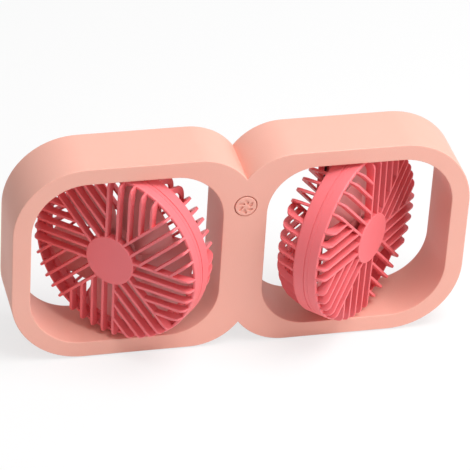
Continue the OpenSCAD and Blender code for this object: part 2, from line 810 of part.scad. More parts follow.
// The motor's pair of leads, in the rear grille's trough and out through the upper pivot tube
module head_leads(side) {
    mid_x = rib_pitch / 2 - rib_offset;
    deep = 2.4 - rear_h;
    turn_y = rear_rim - rear_bend;
    color(black_colour) on_head(side) lead([
        [mid_x, motor_r + 0.4, deep + 1.1], [mid_x, hub_r + 0.2, deep + 0.7], [mid_x, hub_r + 3, deep],
        [mid_x, turn_y - 1.8, deep], [mid_x, turn_y + 4.7, deep + 2],
        [mid_x, turn_y + 6.4, deep + 6.4], [mid_x, turn_y + 6.4, -band_rear - 2.2],
        [0, block_in - 1.1, -3.4], [0, block_in - 0.9, -0.6], [0, tube_in - 0.2, 0],
        [0, hole_h / 2 - 0.2, 0]], lead_d + 0.2);
}

module swept_blade() {
    intersection() {
        translate([0, 0, blade_lift]) rotate([0, -blade_pitch, 0]) translate([0, 0, -blade_curve])
            rotate([-90, 0, 0]) difference() {
                cylinder(r = blade_curve + blade_t / 2, h = fan_r + 4);
                translate([0, 0, -over]) cylinder(r = blade_curve - blade_t / 2, h = fan_r + 4 + 2 * over);
            }
        translate([0, 0, blade_back]) linear_extrude(spinner_front - blade_back) intersection() {
            circle(r = fan_r);
            polygon([[-blade_root_w / 2, spinner_r - 4], [blade_root_w / 2, spinner_r - 4],
                [blade_lead, blade_mid], [blade_lead + 2.5, fan_r - 8], [blade_lead - 1, fan_r + 2],
                [-blade_trail - 3, fan_r + 2], [-blade_trail, blade_mid - 1]]);
        }
    }
}

// Impeller: a cup over the motor's shaft with swept blades
module impeller(side) {
    color(fan_colour) on_head(side) rotate(fan_turn) difference() {
        union() {
            translate([0, 0, spinner_back]) cylinder(r = spinner_r, h = spinner_front - spinner_back);
            for (k = [0 : blades - 1]) rotate(360 * k / blades) swept_blade();
        }
        translate([0, 0, spinner_back - 8]) difference() {
            cylinder(r = spinner_r - spinner_t, h = spinner_front - spinner_t - spinner_back + 8);
            translate([0, 0, 8.3]) cylinder(r = motor_boss_r, h = 20);
        }
        translate([0, 0, spinner_back - over])
            cylinder(d = shaft_d + 0.04, h = shaft_end + seat - spinner_back + over);
    }
}

module motor_shaft(side) {
    color(steel_colour) on_head(side) translate([0, 0, motor_front - 8.8])
        cylinder(d = shaft_d, h = shaft_end - motor_front + 8.8);
}

module left_front_grille() { front_grille(-1); }
module left_rear_grille() { rear_grille(-1); }
module left_upper_pivot() { pivot_tube(-1, 1); }
module left_lower_pivot() { pivot_tube(-1, -1); }
module left_pivot_clips() { pivot_clips(-1); }
module left_friction_washers() { friction_washers(-1); }
module left_motor() { motor(-1); }
module left_motor_screws() { motor_screws(-1); }
module left_head_leads() { head_leads(-1); }
module left_impeller() { impeller(-1); }
module left_motor_shaft() { motor_shaft(-1); }

module right_front_grille() { front_grille(1); }
module right_rear_grille() { rear_grille(1); }
module right_upper_pivot() { pivot_tube(1, 1); }
module right_lower_pivot() { pivot_tube(1, -1); }
module right_pivot_clips() { pivot_clips(1); }
module right_friction_washers() { friction_washers(1); }
module right_motor() { motor(1); }
module right_motor_screws() { motor_screws(1); }
module right_head_leads() { head_leads(1); }
module right_impeller() { impeller(1); }
module right_motor_shaft() { motor_shaft(1); }

front_shell();
rear_cover();
cover_screws();
foot_pads();
button_cap();
switch_plunger();
tact_switch();
control_board();
board_screws();
charging_board();
charging_socket();
charge_light();
battery_cell();
battery_tabs();
battery_pad();
battery_leads();
board_leads();
left_frame_leads();
right_frame_leads();
left_upper_bush();
left_lower_bush();
right_upper_bush();
right_lower_bush();
left_front_grille();
left_rear_grille();
left_upper_pivot();
left_lower_pivot();
left_pivot_clips();
left_friction_washers();
left_motor();
left_motor_screws();
left_head_leads();
left_impeller();
left_motor_shaft();
right_front_grille();
right_rear_grille();
right_upper_pivot();
right_lower_pivot();
right_pivot_clips();
right_friction_washers();
right_motor();
right_motor_screws();
right_head_leads();
right_impeller();
right_motor_shaft();
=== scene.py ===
import bpy
import bmesh
import math
from mathutils import Matrix, Vector


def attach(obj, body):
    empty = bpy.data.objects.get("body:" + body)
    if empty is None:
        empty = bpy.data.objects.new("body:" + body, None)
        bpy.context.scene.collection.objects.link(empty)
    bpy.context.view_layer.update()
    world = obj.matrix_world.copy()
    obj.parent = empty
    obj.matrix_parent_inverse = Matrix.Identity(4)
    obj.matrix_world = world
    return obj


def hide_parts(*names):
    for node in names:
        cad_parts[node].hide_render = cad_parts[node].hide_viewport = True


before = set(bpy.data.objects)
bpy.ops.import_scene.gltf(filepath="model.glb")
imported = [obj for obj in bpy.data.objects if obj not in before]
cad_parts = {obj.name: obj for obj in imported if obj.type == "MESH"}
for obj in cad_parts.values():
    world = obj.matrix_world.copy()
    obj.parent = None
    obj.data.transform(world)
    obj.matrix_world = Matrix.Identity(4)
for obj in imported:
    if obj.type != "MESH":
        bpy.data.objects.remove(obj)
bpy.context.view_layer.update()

# Front shell
# One moulding of matt salmon ABS: the front face, the outer wall of the twin rings and the walls
# of both openings, with small round edges from the tool. Everything in the frame is screwed or
# pressed into it from behind.
face_y, back_y, mid_z = -14.4, 22.6, 62.8
wall = 2.0
front_round = 0.6
rear_round = 0.7
hole_r = 6.5
hole_z = 30.25


def arc(cx, cy, r, start, end, n):
    """Points on an arc, start and end in degrees."""
    turns = [math.radians(start + (end - start) * i / n) for i in range(n + 1)]
    return [(cx + r * math.cos(a), cy + r * math.sin(a)) for a in turns]


def ring_outline(grow):
    """Outline of the twin rings, clockwise from the upper notch."""
    r = 33.5 + grow
    notch = math.degrees(math.acos(-27.5 / r))
    half = (arc(27.5, 28.5, r, notch, 90, 14) + arc(89, 21, 41 + grow, 90, 0, 22)
            + arc(89, -21, 41 + grow, 0, -90, 22) + arc(27.5, -28.5, r, -90, -notch, 14))
    return half + [(-x, y) for x, y in reversed(half[1:-1])]


def opening_outline(side, grow):
    """Outline of one opening, rounder on the side of the frame's end."""
    line = (arc(88.5, 21.25, 31 + grow, 90, 0, 20) + arc(88.5, -21.25, 31 + grow, 0, -90, 20)
            + arc(40.5, -24.25, 28 + grow, -90, -180, 18) + arc(40.5, 24.25, 28 + grow, 180, 90, 18))
    return [(side * x, y) for x, y in line]


def button_outline(grow):
    """Outline of the button's hole."""
    return [(x, y) for x, y in arc(0, hole_z, hole_r + grow, 0, 352.5, 47)]


def rounding(radius, n):
    """Steps of a quarter round as (how far in, how far forward), from the wall to the face."""
    turns = [math.pi / 2 * i / n for i in range(n + 1)]
    return [(radius * (1 - math.cos(a)), radius * math.sin(a)) for a in turns]


def stack_walls(bm, rows):
    """Joins closed rows of points with quads. Each row is a list of places."""
    made = [[bm.verts.new(p) for p in row] for row in rows]
    for low, high in zip(made, made[1:]):
        for i in range(len(low)):
            j = (i + 1) % len(low)
            bm.faces.new((low[i], low[j], high[j], high[i]))
    return made


def fill_between(bm, loops):
    """Fills the flat between closed rows of points."""
    edges = [bm.edges.get((row[i], row[(i + 1) % len(row)])) for row in loops for i in range(len(row))]
    bmesh.ops.triangle_fill(bm, use_beauty=True, edges=edges)


def in_frame(x, y, depth):
    """A place in the frame, in millimetres, from its middle, with depth measured back from the face."""
    return (x, face_y + depth, mid_z + y)


def make_object(name, bm, material, at=None, sharp=32):
    """Turns millimetre mesh data into a finished object with even normals."""
    bmesh.ops.recalc_face_normals(bm, faces=bm.faces)
    mesh = bpy.data.meshes.new(name)
    bm.to_mesh(mesh)
    bm.free()
    mesh.transform(at if at is not None else Matrix.Scale(0.001, 4))
    mesh.polygons.foreach_set("use_smooth", [True] * len(mesh.polygons))
    mesh.set_sharp_from_angle(angle=math.radians(sharp))
    mesh.materials.append(material)
    piece = bpy.data.objects.new(name, mesh)
    bpy.context.scene.collection.objects.link(piece)
    return piece


def settle(piece):
    """Replaces a piece's mesh and modifiers by the plain mesh that they make."""
    bpy.context.view_layer.update()
    graph = bpy.context.evaluated_depsgraph_get()
    plain = bpy.data.meshes.new_from_object(piece.evaluated_get(graph), preserve_all_data_layers=True,
                                            depsgraph=graph)
    piece.modifiers.clear()
    piece.data = plain
    return piece


def even_faces(piece):
    """Flat faces keep one normal right up to the rounded edges beside them."""
    even = piece.modifiers.new("even_faces", "WEIGHTED_NORMAL")
    even.keep_sharp = True
    even.weight = 100
    return settle(piece)


def moulded_plastic(name, colour, shade, rough, grain_size, relief, soft=0.0, coat=0.0):
    """Moulded plastic: two close tones in broad drifts, fine spark-eroded grain as relief, and
    roughness that varies with the handling. colour and shade are linear."""
    m = bpy.data.materials.new(name)
    m.use_nodes = True
    m.diffuse_color = (*colour, 1)
    nodes, links = m.node_tree.nodes, m.node_tree.links
    shader = nodes["Principled BSDF"]
    place = nodes.new("ShaderNodeTexCoord")
    drift = nodes.new("ShaderNodeTexNoise")
    drift.inputs["Scale"].default_value = 26
    drift.inputs["Detail"].default_value = 4
    drift.inputs["Roughness"].default_value = 0.6
    tone = nodes.new("ShaderNodeMix")
    tone.data_type = "RGBA"
    tone.inputs["A"].default_value = (*colour, 1)
    tone.inputs["B"].default_value = (*shade, 1)
    grain = nodes.new("ShaderNodeTexNoise")
    grain.inputs["Scale"].default_value = 1 / grain_size
    grain.inputs["Detail"].default_value = 2
    pits = nodes.new("ShaderNodeTexVoronoi")
    pits.inputs["Scale"].default_value = 0.55 / grain_size
    both = nodes.new("ShaderNodeMath")
    both.operation = "MULTIPLY_ADD"
    both.inputs[1].default_value = 0.5
    bump = nodes.new("ShaderNodeBump")
    bump.inputs["Strength"].default_value = relief
    bump.inputs["Distance"].default_value = grain_size * 0.35
    gloss = nodes.new("ShaderNodeMapRange")
    gloss.inputs["From Min"].default_value = 0.3
    gloss.inputs["From Max"].default_value = 0.7
    gloss.inputs["To Min"].default_value = rough - 0.05
    gloss.inputs["To Max"].default_value = rough + 0.06
    links.new(place.outputs["Object"], drift.inputs["Vector"])
    links.new(place.outputs["Object"], grain.inputs["Vector"])
    links.new(place.outputs["Object"], pits.inputs["Vector"])
    links.new(drift.outputs["Fac"], tone.inputs["Factor"])
    links.new(tone.outputs["Result"], shader.inputs["Base Color"])
    links.new(grain.outputs["Fac"], both.inputs[0])
    links.new(pits.outputs["Distance"], both.inputs[2])
    links.new(both.outputs["Value"], bump.inputs["Height"])
    links.new(bump.outputs["Normal"], shader.inputs["Normal"])
    links.new(drift.outputs["Fac"], gloss.inputs["Value"])
    links.new(gloss.outputs["Result"], shader.inputs["Roughness"])
    shader.inputs["Subsurface Weight"].default_value = soft
    shader.inputs["Subsurface Radius"].default_value = (1.0, 0.45, 0.35)
    shader.inputs["Subsurface Scale"].default_value = 0.0012
    shader.inputs["Coat Weight"].default_value = coat
    shader.inputs["Coat Roughness"].default_value = 0.2
    return m


salmon = moulded_plastic("salmon_plastic", (0.850, 0.435, 0.350), (0.820, 0.405, 0.322), 0.55, 0.00042, 0.22,
                         soft=0.05)

bm = bmesh.new()
depth = back_y - face_y
rim = [(-wall, wall), (-wall, depth - 0.3), (-wall + 0.3, depth)]
rim += [(-g, depth - rear_round + f) for g, f in reversed(rounding(rear_round, 4))]
rim += [(-g, front_round - f) for g, f in rounding(front_round, 6)]
outer = stack_walls(bm, [[in_frame(x, y, d) for x, y in ring_outline(g)] for g, d in rim])
sides = [stack_walls(bm, [[in_frame(x, y, d) for x, y in opening_outline(s, -g)] for g, d in rim])
         for s in (-1, 1)]
lip = [(0, wall), (0, 0.5)] + [(g, 0.5 - f) for g, f in rounding(0.5, 4)][1:]
button_hole = stack_walls(bm, [[in_frame(x, y, d) for x, y in button_outline(g)] for g, d in lip])
for end in (0, -1):
    fill_between(bm, [outer[end], sides[0][end], sides[1][end], button_hole[end]])
shell = make_object("shell_moulding", bm, salmon, sharp=40)


def stadium(width, length, n):
    """Outline with round ends, longest along y."""
    r, half = width / 2, (length - width) / 2
    return ([(x, y + half) for x, y in arc(0, 0, r, 0, 180, n)]
            + [(x, y - half) for x, y in arc(0, 0, r, 180, 360, n)])


pad_places = [(x, 4.1) for x in (-79, -37, 37, 79)]
swivel_x, swivel_y = 66, -2
bush_hole_r = 4.25
bm = bmesh.new()
for s in (-1, 1):
    for e in (-1, 1):
        at = Matrix.Translation((swivel_x * s, swivel_y, mid_z + e * 54.25))
        bmesh.ops.create_cone(bm, cap_ends=True, segments=48, radius1=bush_hole_r, radius2=bush_hole_r,
                              depth=3.9, matrix=at)
for px, py in pad_places:
    rows = stack_walls(bm, [[(px + x, py + y, z) for x, y in stadium(8.2, 26.2, 14)] for z in (-0.5, 1.75)])
    fill_between(bm, [rows[0]])
    fill_between(bm, [rows[1]])
cutter = make_object("shell_cuts", bm, salmon)
cuts = shell.modifiers.new("bush_holes_and_pad_pockets", "BOOLEAN")
cuts.object = cutter
cuts.operation = "DIFFERENCE"
cuts.solver = "EXACT"
settle(shell)
bpy.data.objects.remove(cutter)
even_faces(shell)
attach(shell, "frame")
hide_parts("front_shell")

# Back cover
# A flat plate of the same plastic, set into the back of the shell and held by eight screws. It
# carries the charging socket and the charge light. Its grain is a little coarser than the face's.
def wear(node, material):
    """Gives a part its material."""
    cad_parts[node].data.materials.clear()
    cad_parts[node].data.materials.append(material)


cover_plastic = moulded_plastic("salmon_cover_plastic", (0.850, 0.460, 0.375), (0.815, 0.428, 0.346), 0.6,
                                0.0006, 0.3, soft=0.05)
wear("rear_cover", cover_plastic)

# Screws
# Zinc-plated pan head screws with a cross recess: eight hold the back cover, two the control
# board and two each motor. Each cover screw is driven home at its own angle.
def metal(name, colour, rough, grain_size, relief, along=(1, 1, 1)):
    """Plated or turned metal: fine tool marks, drawn out along one axis, and a cloudy finish."""
    m = bpy.data.materials.new(name)
    m.use_nodes = True
    m.diffuse_color = (*colour, 1)
    nodes, links = m.node_tree.nodes, m.node_tree.links
    shader = nodes["Principled BSDF"]
    shader.inputs["Metallic"].default_value = 1
    place = nodes.new("ShaderNodeTexCoord")
    lay = nodes.new("ShaderNodeMapping")
    lay.inputs["Scale"].default_value = along
    marks = nodes.new("ShaderNodeTexNoise")
    marks.inputs["Scale"].default_value = 1 / grain_size
    marks.inputs["Detail"].default_value = 3
    cloud = nodes.new("ShaderNodeTexNoise")
    cloud.inputs["Scale"].default_value = 220
    tone = nodes.new("ShaderNodeMix")
    tone.data_type = "RGBA"
    tone.inputs["A"].default_value = (*colour, 1)
    tone.inputs["B"].default_value = (*[0.82 * c for c in colour], 1)
    gloss = nodes.new("ShaderNodeMapRange")
    gloss.inputs["To Min"].default_value = rough - 0.07
    gloss.inputs["To Max"].default_value = rough + 0.1
    bump = nodes.new("ShaderNodeBump")
    bump.inputs["Strength"].default_value = relief
    bump.inputs["Distance"].default_value = grain_size * 0.3
    links.new(place.outputs["Object"], lay.inputs["Vector"])
    links.new(lay.outputs["Vector"], marks.inputs["Vector"])
    links.new(place.outputs["Object"], cloud.inputs["Vector"])
    links.new(cloud.outputs["Fac"], tone.inputs["Factor"])
    links.new(tone.outputs["Result"], shader.inputs["Base Color"])
    links.new(marks.outputs["Fac"], gloss.inputs["Value"])
    links.new(gloss.outputs["Result"], shader.inputs["Roughness"])
    links.new(marks.outputs["Fac"], bump.inputs["Height"])
    links.new(bump.outputs["Normal"], shader.inputs["Normal"])
    return m


zinc = metal("zinc_plated_steel", (0.56, 0.57, 0.60), 0.34, 0.00018, 0.2)


def parts_at_places(name, places, part, material, loose_turn, seed):
    """One copy of a part at every place, each turned by its own chance amount up to loose_turn."""
    tree = bpy.data.node_groups.new(name, "GeometryNodeTree")
    sockets = tree.interface
    sockets.new_socket("Places", in_out="INPUT", socket_type="NodeSocketGeometry")
    part_in = sockets.new_socket("Part", in_out="INPUT", socket_type="NodeSocketObject")
    turn_in = sockets.new_socket("Loose turn", in_out="INPUT", socket_type="NodeSocketVector")
    seed_in = sockets.new_socket("Seed", in_out="INPUT", socket_type="NodeSocketInt")
    finish_in = sockets.new_socket("Finish", in_out="INPUT", socket_type="NodeSocketMaterial")
    sockets.new_socket("Parts", in_out="OUTPUT", socket_type="NodeSocketGeometry")
    nodes, links = tree.nodes, tree.links
    given = nodes.new("NodeGroupInput")
    copy = nodes.new("GeometryNodeObjectInfo")
    turn = nodes.new("FunctionNodeRandomValue")
    turn.data_type = "FLOAT_VECTOR"
    put = nodes.new("GeometryNodeInstanceOnPoints")
    real = nodes.new("GeometryNodeRealizeInstances")
    dress = nodes.new("GeometryNodeSetMaterial")
    made = nodes.new("NodeGroupOutput")
    links.new(given.outputs["Part"], copy.inputs["Object"])
    links.new(given.outputs["Loose turn"], turn.inputs["Max"])
    links.new(given.outputs["Seed"], turn.inputs["Seed"])
    links.new(given.outputs["Places"], put.inputs["Points"])
    links.new(copy.outputs["Geometry"], put.inputs["Instance"])
    links.new(turn.outputs["Value"], put.inputs["Rotation"])
    links.new(put.outputs["Instances"], real.inputs["Geometry"])
    links.new(real.outputs["Geometry"], dress.inputs["Geometry"])
    links.new(given.outputs["Finish"], dress.inputs["Material"])
    links.new(dress.outputs["Geometry"], made.inputs["Parts"])
    mesh = bpy.data.meshes.new(name)
    mesh.from_pydata([[0.001 * c for c in p] for p in places], [], [])
    piece = bpy.data.objects.new(name, mesh)
    bpy.context.scene.collection.objects.link(piece)
    rule = piece.modifiers.new(name, "NODES")
    rule.node_group = tree
    rule[part_in.identifier] = part
    rule[turn_in.identifier] = loose_turn
    rule[seed_in.identifier] = seed
    rule[finish_in.identifier] = material
    settle(piece)
    bpy.data.objects.remove(part)
    return piece


def turned(bm, profile, steps):
    """Turns a profile of (radius, height) round the z axis. Radius 0 closes it in a pole."""
    rows = []
    for r, z in profile:
        if r == 0:
            rows.append([bm.verts.new((0, 0, z))])
        else:
            spokes = [math.tau * i / steps for i in range(steps)]
            rows.append([bm.verts.new((r * math.cos(a), r * math.sin(a), z)) for a in spokes])
    return rows


def join_rows(bm, rows, closed=False):
    """Faces between neighbouring rows of a turned profile."""
    pairs = list(zip(rows, rows[1:])) + ([(rows[-1], rows[0])] if closed else [])
    for low, high in pairs:
        n = max(len(low), len(high))
        for i in range(n):
            j = (i + 1) % n
            corners = [low[i % len(low)], low[j % len(low)], high[j % len(high)], high[i % len(high)]]
            corners = [v for k, v in enumerate(corners) if v not in corners[:k]]
            if len(corners) > 2:
                bm.faces.new(corners)


def pan_screw(name, d, head_d, head_h, length, material):
    """A screw along z with its head towards +z and its seat at z = 0, in millimetres."""
    bm = bmesh.new()
    top = [(head_d / 2 - r, head_h - 0.55 + f) for r, f in rounding(0.55, 5)]
    shank = [(0, -length), (d * 0.3, -length), (d * 0.42, -length + 0.5)]
    turns = int((length - 1.2) / 0.8)
    for k in range(turns):
        z = -length + 0.9 + k * 0.8
        shank += [(d * 0.42, z), (d * 0.5, z + 0.22), (d * 0.42, z + 0.44)]
    profile = shank + [(d * 0.45, -0.15), (d * 0.45, 0), (head_d / 2, 0)] + top[:-1]
    profile += [(head_d / 2 - 0.55, head_h), (head_d * 0.3, head_h + 0.08), (0, head_h + 0.12)]
    join_rows(bm, turned(bm, profile, 32))
    body = make_object(name, bm, material)
    bm = bmesh.new()
    for a in (0, 90):
        at = Matrix.Rotation(math.radians(a), 4, "Z") @ Matrix.Translation((0, 0, head_h))
        bmesh.ops.create_cube(bm, size=1, matrix=at @ Matrix.Diagonal((head_d * 0.56, head_d * 0.13, 1.4, 1)))
    cross = make_object(name + "_recess", bm, material)
    cut = body.modifiers.new("recess", "BOOLEAN")
    cut.object = cross
    cut.operation = "DIFFERENCE"
    cut.solver = "EXACT"
    cut.use_self = True
    settle(body)
    bpy.data.objects.remove(cross)
    return body


back_facing = Matrix.Rotation(math.radians(-90), 4, "X")
end_screw = (114.21, 46.58)
mid_screw = (14.34, 50.41)
spots = [(sx * x, back_y - 1.4, mid_z + sz * z) for sx in (-1, 1) for sz in (-1, 1)
         for x, z in (end_screw, mid_screw)]
part = pan_screw("cover_screw", 2.6, 4.6, 1.2, 8, zinc)
part.data.transform(back_facing)
cover_screws = parts_at_places("cover_screw_set", spots, part, zinc, (0, 1.57, 0), 3)
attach(cover_screws, "frame")
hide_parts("cover_screws")
for node in ("board_screws", "left_motor_screws", "right_motor_screws"):
    wear(node, zinc)

# Foot pads
# Four pads of grey silicone with round ends, pressed into pockets of the underside. Their lower
# edge is rounded, and the silicone is matt and a little dusty.
silicone = moulded_plastic("grey_silicone", (0.62, 0.60, 0.58), (0.54, 0.51, 0.50), 0.72, 0.00025, 0.25)
bm = bmesh.new()
steps = [(0, 1.65)] + [(r, 0.5 - f) for r, f in rounding(0.5, 4)]
rows = stack_walls(bm, [[(x, y, z) for x, y in stadium(8 - 2 * g, 26 - 2 * g, 14)] for g, z in steps])
fill_between(bm, [rows[0]])
fill_between(bm, [rows[-1]])
part = make_object("foot_pad", bm, silicone)
foot_pads = parts_at_places("foot_pad_set", [(x, y, 0) for x, y in pad_places], part, silicone, (0, 0, 0), 1)
even_faces(foot_pads)
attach(foot_pads, "frame")
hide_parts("foot_pads")

# Button
# A round cap of the shell's plastic, a little proud of the face, with a plain swirl of six
# lobes sunk in it. It is moulded with a flange that stops it from behind.
def copies_round(name, part, count, material):
    """Copies of a part at equal turns about the z axis, as one mesh."""
    tree = bpy.data.node_groups.new(name, "GeometryNodeTree")
    sockets = tree.interface
    sockets.new_socket("Part", in_out="INPUT", socket_type="NodeSocketGeometry")
    count_in = sockets.new_socket("Count", in_out="INPUT", socket_type="NodeSocketInt")
    step_in = sockets.new_socket("Turn between", in_out="INPUT", socket_type="NodeSocketFloat")
    finish_in = sockets.new_socket("Finish", in_out="INPUT", socket_type="NodeSocketMaterial")
    sockets.new_socket("Parts", in_out="OUTPUT", socket_type="NodeSocketGeometry")
    nodes, links = tree.nodes, tree.links
    given = nodes.new("NodeGroupInput")
    spots = nodes.new("GeometryNodePoints")
    which = nodes.new("GeometryNodeInputIndex")
    angle = nodes.new("ShaderNodeMath")
    angle.operation = "MULTIPLY"
    upright = nodes.new("ShaderNodeCombineXYZ")
    turn = nodes.new("FunctionNodeEulerToRotation")
    put = nodes.new("GeometryNodeInstanceOnPoints")
    real = nodes.new("GeometryNodeRealizeInstances")
    dress = nodes.new("GeometryNodeSetMaterial")
    made = nodes.new("NodeGroupOutput")
    links.new(given.outputs["Count"], spots.inputs["Count"])
    links.new(which.outputs["Index"], angle.inputs[0])
    links.new(given.outputs["Turn between"], angle.inputs[1])
    links.new(angle.outputs["Value"], upright.inputs["Z"])
    links.new(upright.outputs["Vector"], turn.inputs["Euler"])
    links.new(spots.outputs["Points"], put.inputs["Points"])
    links.new(given.outputs["Part"], put.inputs["Instance"])
    links.new(turn.outputs["Rotation"], put.inputs["Rotation"])
    links.new(put.outputs["Instances"], real.inputs["Geometry"])
    links.new(real.outputs["Geometry"], dress.inputs["Geometry"])
    links.new(given.outputs["Finish"], dress.inputs["Material"])
    links.new(dress.outputs["Geometry"], made.inputs["Parts"])
    rule = part.modifiers.new(name, "NODES")
    rule.node_group = tree
    rule[count_in.identifier] = count
    rule[step_in.identifier] = math.tau / count
    rule[finish_in.identifier] = material
    return settle(part)


cap_l, cap_r, cap_round = 3.15, 6, 0.4
flange_r, flange_t = 7.5, 0.8
swirl_depth, swirl_lobe_count = 0.7, 6
bm = bmesh.new()
profile = [(0, 0), (flange_r, 0), (flange_r, flange_t), (cap_r, flange_t)]
profile += [(cap_r - g, cap_l - cap_round + f) for g, f in rounding(cap_round, 5)] + [(0, cap_l)]
join_rows(bm, turned(bm, profile, 72))
cap = make_object("button_cap_moulding", bm, salmon)
bm = bmesh.new()
spine = [(1.3 + 3.4 * t / 10, math.radians(34 * t / 10), 0.2 + math.sin(math.pi * (t / 10) ** 1.2))
         for t in range(11)]
lobe = [(r * math.cos(a + w / r), r * math.sin(a + w / r)) for r, a, w in spine]
lobe += [(r * math.cos(a - w / r), r * math.sin(a - w / r)) for r, a, w in reversed(spine)]
rows = stack_walls(bm, [[(x, y, z) for x, y in lobe] for z in (cap_l - swirl_depth, cap_l + 1)])
fill_between(bm, [rows[0]])
fill_between(bm, [rows[1]])
lobes = copies_round("swirl_lobes", make_object("swirl_lobe", bm, salmon), swirl_lobe_count, salmon)
sink = cap.modifiers.new("swirl", "BOOLEAN")
sink.object = lobes
sink.operation = "DIFFERENCE"
sink.solver = "EXACT"
soften = cap.modifiers.new("soft_edges", "BEVEL")
soften.width = 0.00009
soften.segments = 2
soften.limit_method = "ANGLE"
soften.angle_limit = math.radians(50)
settle(cap)
bpy.data.objects.remove(lobes)
cap.data.transform(Matrix.Translation((0, -0.01155, 0.09305)) @ Matrix.Rotation(math.radians(90), 4, "X"))
cap.data.polygons.foreach_set("use_smooth", [True] * len(cap.data.polygons))
cap.data.set_sharp_from_angle(angle=math.radians(50))
even_faces(cap)
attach(cap, "button")
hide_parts("button_cap")

# Switch and boards
# Behind the button sits the tact switch on the green control board, and at the back the charging
# board with the charge light's milky guide. Their leads are black, the battery's are red.
black = moulded_plastic("black_nylon", (0.022, 0.022, 0.024), (0.034, 0.034, 0.036), 0.5, 0.0003, 0.25)
sleeve = moulded_plastic("black_insulation", (0.018, 0.018, 0.02), (0.03, 0.03, 0.032), 0.42, 0.0002, 0.15)
red_sleeve = moulded_plastic("red_insulation", (0.42, 0.012, 0.012), (0.34, 0.01, 0.01), 0.4, 0.0002, 0.15)
milky = moulded_plastic("milky_light_guide", (0.86, 0.86, 0.82), (0.80, 0.80, 0.76), 0.3, 0.0002, 0.06,
                        soft=0.4)
milky.node_tree.nodes["Principled BSDF"].inputs["Transmission Weight"].default_value = 0.25
for node in ("switch_plunger", "tact_switch"):
    wear(node, black)
for node in ("board_leads", "left_frame_leads", "right_frame_leads", "left_head_leads", "right_head_leads"):
    wear(node, sleeve)
wear("battery_leads", red_sleeve)
wear("charge_light", milky)

board = bpy.data.materials.new("green_board")
board.use_nodes = True
nodes, links = board.node_tree.nodes, board.node_tree.links
shader = nodes["Principled BSDF"]
place = nodes.new("ShaderNodeTexCoord")
tracks = nodes.new("ShaderNodeTexBrick")
tracks.inputs["Scale"].default_value = 420
tracks.inputs["Color1"].default_value = (0.010, 0.085, 0.035, 1)
tracks.inputs["Color2"].default_value = (0.012, 0.11, 0.045, 1)
tracks.inputs["Mortar"].default_value = (0.03, 0.22, 0.09, 1)
tracks.inputs["Mortar Size"].default_value = 0.06
weave = nodes.new("ShaderNodeTexNoise")
weave.inputs["Scale"].default_value = 2600
lift = nodes.new("ShaderNodeBump")
lift.inputs["Strength"].default_value = 0.15
lift.inputs["Distance"].default_value = 0.0001
links.new(place.outputs["Object"], tracks.inputs["Vector"])
links.new(place.outputs["Object"], weave.inputs["Vector"])
links.new(tracks.outputs["Color"], shader.inputs["Base Color"])
links.new(weave.outputs["Fac"], lift.inputs["Height"])
links.new(lift.outputs["Normal"], shader.inputs["Normal"])
shader.inputs["Roughness"].default_value = 0.32
for node in ("control_board", "charging_board"):
    wear(node, board)

# Charging socket
# A drawn nickel-plated shell with round ends and a black tongue, soldered to the charging board
# and flush with the back cover.
nickel = metal("nickel_plate", (0.62, 0.60, 0.56), 0.24, 0.0002, 0.12)
bm = bmesh.new()
path = [(0.05, 0.35), (0.13, 0.23), (0.25, 0.2), (0.36, 0.27), (0.4, 0.4), (0.4, 6.9)]
socket_z = mid_z + hole_z + 2
rows = stack_walls(bm, [[(y, back_y - d, socket_z + x) for x, y in stadium(3.2 - 2 * g, 8.9 - 2 * g, 14)]
                        for g, d in [(0.05, 7.5)] + path])
fill_between(bm, [rows[0]])
fill_between(bm, [rows[-1]])
socket = make_object("socket_shell", bm, nickel)
even_faces(socket)
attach(socket, "frame")
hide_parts("charging_socket")
bm = bmesh.new()
at = Matrix.Translation((0, back_y - 4.1, socket_z))
bmesh.ops.create_cube(bm, size=1, matrix=at @ Matrix.Diagonal((6.6, 6.0, 0.7, 1)))
bmesh.ops.bevel(bm, geom=bm.edges[:], offset=0.15, segments=2, profile=0.5, affect="EDGES")
tongue = make_object("socket_tongue", bm, black)
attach(tongue, "frame")

# Battery
# One cell in plain blue shrink wrap, upright in the middle column, with welded nickel tabs and a
# foam pad behind it.
wrap = moulded_plastic("blue_shrink_wrap", (0.045, 0.13, 0.32), (0.035, 0.10, 0.26), 0.28, 0.0009, 0.12,
                       coat=0.4)
foam = moulded_plastic("black_foam", (0.02, 0.02, 0.022), (0.04, 0.04, 0.042), 0.9, 0.0005, 0.9)
wear("battery_cell", wrap)
wear("battery_pad", foam)
wear("battery_tabs", nickel)

# Bushes and washers
# Flanged bushes pressed into the opening walls, and the friction washers between them and the
# heads: turned from natural acetal, slightly waxy.
acetal = moulded_plastic("natural_acetal", (0.80, 0.79, 0.74), (0.74, 0.73, 0.68), 0.38, 0.00025, 0.12,
                         soft=0.3)
for side in ("left", "right"):
    for node in ("upper_bush", "lower_bush", "friction_washers"):
        wear(f"{side}_{node}", acetal)

# Pivots and motors
# Hollow turned steel tubes with collars, blued spring clips in their grooves, and the motors:
# drawn cans with a ground shaft.
turned_steel = metal("turned_steel", (0.50, 0.50, 0.51), 0.3, 0.00016, 0.3, along=(0.15, 0.15, 1))
spring_steel = metal("spring_steel", (0.26, 0.27, 0.31), 0.35, 0.0002, 0.2)
motor_can = metal("motor_can_plate", (0.60, 0.58, 0.53), 0.3, 0.00025, 0.2, along=(1, 1, 0.2))
for side in ("left", "right"):
    wear(f"{side}_upper_pivot", turned_steel)
    wear(f"{side}_lower_pivot", turned_steel)
    wear(f"{side}_motor_shaft", turned_steel)
    wear(f"{side}_pivot_clips", spring_steel)
    wear(f"{side}_motor", motor_can)

